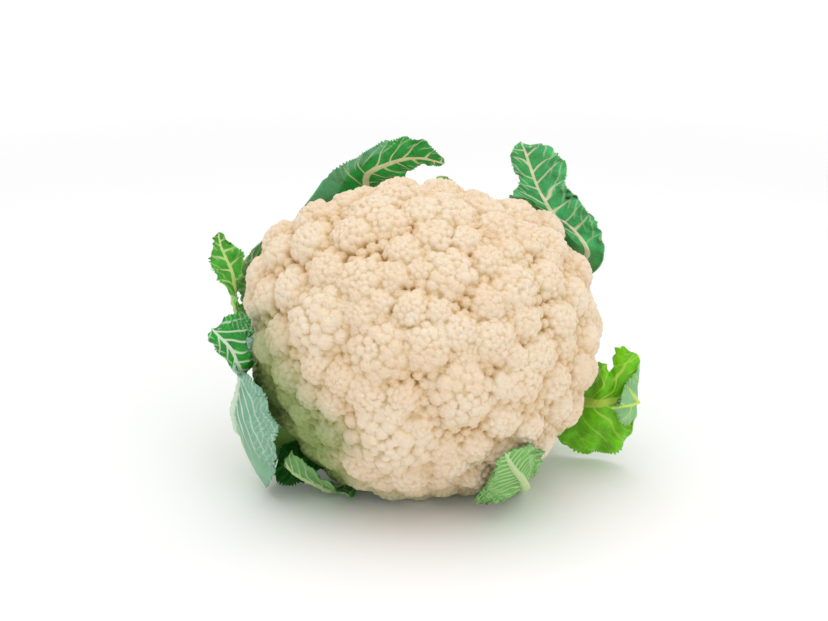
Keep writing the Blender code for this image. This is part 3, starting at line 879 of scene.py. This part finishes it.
def build_leaf(
    name, lines, inner, outer, vein, ruffle, tooth, spacing, rib, bare, sweep=0.95, turned=()
):
    """A leaf: a thin ruffled blade with raised veins and a thick midrib towards the outside."""
    draw = np.random.default_rng(sum(map(ord, name)))
    sketch = loft(lines, 40, 9)
    length = np.linalg.norm(np.diff(sketch[:, 4], axis=0), axis=1).sum()
    width = np.linalg.norm(np.diff(sketch, axis=1), axis=2).sum(axis=1).max()
    rows = int(length / LEAF_STEP) + 2
    columns = int(width / LEAF_STEP / 2) * 2 + 3
    sheet = loft(lines, rows, columns)
    u = np.linspace(-1, 1, columns)[None, :] * np.ones((rows, 1))   # across, midrib at 0
    t = np.linspace(0, 1, rows)[:, None] * np.ones((1, columns))    # along, from stalk to tip

    # Lengths over the sheet in millimetres: s along the midrib, x out from it, half to the margin
    middle = columns // 2
    steps = np.linalg.norm(np.diff(sheet[:, middle], axis=0), axis=1)
    s = np.concatenate(((0,), np.cumsum(steps)))[:, None] * np.ones((1, columns))
    gaps = np.linalg.norm(np.diff(sheet, axis=1), axis=2)
    run = np.concatenate((np.zeros((rows, 1)), np.cumsum(gaps, axis=1)), axis=1)
    x = run - run[:, middle, None]
    half = np.maximum(np.where(x > 0, run[:, -1:] - run[:, middle, None], run[:, middle, None]), 1)
    edge = np.clip(np.abs(x) / half, 0, 1)

    along = unit(np.gradient(sheet, axis=0))
    across = unit(np.gradient(sheet, axis=1))
    normal = unit(np.cross(along, across))
    across = np.cross(normal, along)

    # The margin: rounded at the tip, with lobes and teeth, and ruffled
    side = np.where(u > 0, 1.0, -1.0)
    free = smooth(bare, bare + 0.12, t)
    phase = draw.uniform(0, math.tau, 4)
    wave = s / spacing * math.tau * 0.55 + side * phase[0]
    lobes = np.sin(wave) * 0.6 + np.sin(wave * 1.83 + phase[1]) * 0.4
    saw = np.abs((s / (3.1 + 0.6 * np.sin(wave * 0.37)) + side * 0.3) % 1 - 0.5) * 2
    teeth = (saw - 0.5) * (0.8 + 0.5 * np.sin(wave * 2.3 + phase[2]))
    cut = tooth * (0.8 * lobes + 0.3 + 2.0 * teeth) * free
    taper = np.clip((t - TIP_FROM) / (1 - TIP_FROM), 0, 1)
    tip = np.sqrt(np.clip(1 - taper**2, 0.02, 1))
    limit = 0.6 * half
    shift = np.clip(smooth(0.45, 1.0, np.abs(u)) * cut * side, -limit, limit) - x * (1 - tip)
    folds = np.sin(s / spacing * math.tau * 0.8 + side * phase[3] + 1.3 * u)
    lift = ruffle * free * np.abs(u) ** 2.2 * folds
    lift += 0.35 * ruffle * free * np.abs(u) * wobble(sheet, spacing * 0.8, len(name))

    # The veins, and the blade puffed up between them
    warp = 0.9 * wobble(sheet, 14, 11 + len(name))

    def nearest(slope, gap, start):
        """The distance to the nearest of a row of veins that slope away from the midrib."""
        order = (s - slope * np.abs(x) ** VEIN_BEND + warp * gap * 0.22) / gap + start
        return np.abs(order - np.round(order)) * gap / math.hypot(1, slope)

    first = nearest(sweep, spacing, 0.25 * side)
    second = nearest(FORK_SLOPE, spacing * FORK_GAP, 0.1 + 0.25 * side)
    third = nearest(CROSS_SLOPE, spacing * CROSS_GAP, 0.4 + 0.2 * side)
    main = np.exp(-((first / (SIDE_VEIN - SIDE_THINS * edge)) ** 2)) * (1 - 0.45 * edge)
    fork = np.exp(-((second / FORK_VEIN) ** 2)) * smooth(0.35, 0.6, edge) * 0.55
    cross = np.exp(-((third / CROSS_VEIN) ** 2)) * 0.16
    veins = np.maximum.reduce((main * free, fork * free, cross * free))
    puff = 0.5 * free * (1 - np.exp(-((first / (spacing * 0.28)) ** 2))) * (1 - edge**4)

    # The midrib, and the whole thickness
    rib_half = np.minimum(rib * (0.55 + 5.4 * (1 - t) ** 1.5) / 1.18, 0.62 * half)
    ridge = np.sqrt(np.clip(1 - (x / (rib_half + 0.3)) ** 2, 0, 1))
    thick = BLADE * (1 - 0.45 * edge * free) + RIB * rib * (0.10 + 0.90 * (1 - t) ** 1.25) * ridge
    thick = thick * tip + 0.25 * (1 - tip)

    base = sheet + across * shift[..., None]
    sunk = VEIN_RELIEF[0] * veins + 0.5 * ridge * (1 - t)
    inner_side = base + normal * (lift - puff - sunk)[..., None]
    outer_side = base + normal * (lift - puff + thick + VEIN_RELIEF[1] * veins)[..., None]
    points = np.concatenate((inner_side.reshape(-1, 3), outer_side.reshape(-1, 3)))
    points[:, 2] = np.maximum(points[:, 2], OFF_FLOOR)

    inside = np.ones((rows, columns))
    if turned:
        near_margin = smooth(turned[0], turned[0] - 0.06, u)
        inside -= 0.9 * near_margin * smooth(turned[1], turned[1] - 0.1, t)
    faces = leaf_faces(rows, columns)
    made = mesh_object(
        name, points, np.concatenate(faces), leaf_uvs(faces, u, t),
        leaf_look(name, inner, outer, vein),
        inside=np.concatenate((inside.ravel(), np.zeros(rows * columns))),
        vein=np.tile(np.maximum(veins, smooth(0.0, 0.55, ridge)).ravel(), 2),
        base=np.tile((smooth(0.42, 0.0, t) * (1 - 0.5 * edge)).ravel(), 2),
    )
    piece(made, name)


def stalk_look():
    n = Nodes("stalk")
    colour = n.mix(n.ramp(n.noise(9, 5), 0.35, 0.65), STALK_PALE, STALK_GREEN)
    fibre = n.ramp(n.noise(1.6, 4), 0.45, 0.7, 0, 0.4)
    colour = n.mix(fibre, colour, LEAF_BASE)
    cut = n.mix(n.ramp(n.noise(2.2, 6), 0.4, 0.7), CUT_PALE, CUT_DRY)
    colour = n.mix(n.mask("cut"), colour, cut)
    colour = n.mix(n.ramp(n.mask("ring"), 0.3, 1, 0, 0.7), colour, CUT_DRY)
    normal = n.bump(n.noise(1.3, 5), 0.5)
    return n.finish(colour, n.ramp(n.noise(4), 0.3, 0.7, 0.5, 0.75), normal, 0.25, 1.5)


def build_stalk():
    """The core: a trunk with leaf scars round it and a cut butt with its ring of strands."""
    around, up = ((240, 90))   # cells round the trunk and along it
    rounds = up + CUT_RINGS
    turn = np.linspace(0, math.tau, around, endpoint=False)[None, :] * np.ones((rounds, 1))
    side = np.stack((np.sin(turn), np.cos(turn)), -1)
    # Distance behind the curd's centre, and share of the cut's radius, which is 1 on the trunk
    behind = np.concatenate((np.linspace(STALK_TOP, STALK_END, up), np.full(CUT_RINGS, STALK_END)))
    share = np.concatenate((np.ones(up), np.linspace(0.985, 0.0, CUT_RINGS)))
    behind, share = behind[:, None] * np.ones((1, around)), share[:, None] * np.ones((1, around))
    on_cut = share < 1

    # The trunk: leaf scars round it, and its skin turned in at the cut
    spots = np.concatenate((side * 30, behind[..., None] * 2), -1)
    scars = 0.6 * np.sin(behind / 3.4 + 1.5 * np.sin(turn * 3)) + 0.8 * wobble(spots, 16, 2)
    lip = smooth(STALK_END, STALK_END - 3.5, behind)
    radius = STALK_RADIUS - 1.2 + scars * lip - STALK_LIP * (1 - lip) ** 2
    radius = np.where(on_cut, CUT_RADIUS * share, radius)

    # The cut: slightly dished, uneven, with a sunk ring of strands
    ring = np.exp(-(((radius - STRAND_RING) / 1.1) ** 2)) * on_cut
    strands = ring * (0.55 + 0.45 * np.sin(turn * STRANDS))
    dish = np.where(on_cut, 1.1 * (1 - (radius / STALK_RADIUS) ** 2) - 0.5 * ring, 0)
    rough = 0.25 * wobble(spots * (1, 1, 0) + radius[..., None], 5, 9) * on_cut
    depth = -(behind - dish - np.abs(rough))
    local = np.concatenate((side * radius[..., None], depth[..., None]), -1)
    points = placed(local).reshape(-1, 3)
    points[:, 2] = np.maximum(points[:, 2], OFF_FLOOR)

    grid = np.arange(rounds * around).reshape(rounds, around)
    follow = np.roll(grid, -1, axis=1)
    faces = np.stack((grid[:-1], follow[:-1], follow[1:], grid[1:]), -1).reshape(-1, 4)
    v = np.linspace(0, 1, rounds)
    w = np.linspace(0, 1, around + 1)
    uv = np.stack(np.broadcast_arrays(w[None, :], v[:, None]), -1)
    uvs = np.stack((uv[:-1, :-1], uv[:-1, 1:], uv[1:, 1:], uv[1:, :-1]), 2)
    made = mesh_object(
        "stalk", points, faces, uvs.reshape(-1, 2), stalk_look(),
        cut=on_cut.astype(float).ravel(), ring=strands.ravel(),
    )
    piece(made, "stalk")


def build_floor():
    """A pale floor that rises into a low wall far out all round, and glows a little there."""
    n = Nodes("floor")
    glow = n.ramp(n.mask("far"), 0, 1, 0, FLOOR_GLOW)
    n.link(glow, n.shader.inputs["Emission Strength"])
    n.finish(n.mix(n.noise(400, 2), FLOOR_PALE, FLOOR_PALER), 0.85, n.bump(n.noise(60, 2), 0.02))
    line = np.linspace(-FLOOR_SIZE / 2, FLOOR_SIZE / 2, FLOOR_STEPS + 1)
    x, y = np.meshgrid(line, line, indexing="ij")
    out = np.hypot(x, y)
    rise = np.clip((out - FLOOR_FLAT) / (FLOOR_SIZE / 2 - FLOOR_FLAT), 0, None)
    points = np.stack((x, y, WALL_HEIGHT * rise**2), -1).reshape(-1, 3)
    faces = grid_quads(np.arange(len(points)).reshape(x.shape))
    uvs = (points[:, :2] / FLOOR_SIZE + 0.5)[faces.ravel()]
    far = smooth(*FLOOR_FAR, out).ravel()
    mesh_object("floor", points, faces, uvs, n.material, far=far)


def aim(thing, place, target):
    """Puts thing at place, in metres, with its -Z towards the target."""
    thing.location = place
    thing.rotation_euler = Vector(target - place).to_track_quat("-Z", "Y").to_euler()


def add_lamp(name, place, size, power):
    """A soft square lamp that points at the head."""
    data = bpy.data.lights.new(name, "AREA")
    data.shape = "SQUARE"
    data.size = size
    data.energy = power
    lamp = bpy.data.objects.new(name, data)
    bpy.context.scene.collection.objects.link(lamp)
    aim(lamp, np.array(place), CENTRE * MM)


def build_light():
    scene = bpy.context.scene
    scene.view_settings.view_transform = "Standard"
    world = bpy.data.worlds.new("studio")
    scene.world = world
    world.use_nodes = True
    sky = world.node_tree.nodes["Background"]
    sky.inputs["Color"].default_value = (1.0, 1.0, 1.0, 1)
    sky.inputs["Strength"].default_value = SKY
    for name, place, size, power in LAMPS:
        add_lamp(name, place, size, power)


def build_camera():
    rise = math.radians(VIEW_RISE)
    near = np.array((0, -math.cos(rise), math.sin(rise)))
    up = np.array((0, math.sin(rise), math.cos(rise)))
    target = CENTRE + np.array((VIEW_OFFSET[0], 0, 0)) + up * VIEW_OFFSET[1]
    data = bpy.data.cameras.new("camera")
    data.lens, data.sensor_width = VIEW_LENS, 36.0
    camera = bpy.data.objects.new("camera", data)
    bpy.context.scene.collection.objects.link(camera)
    aim(camera, (target + near * VIEW_DISTANCE) * MM, target * MM)
    bpy.context.scene.camera = camera


build_curd()
build_stalk()
for leaf_name, lines in LEAVES.items():
    build_leaf(leaf_name, lines, *LEAF_LOOKS[leaf_name])
build_floor()
build_light()
build_camera()
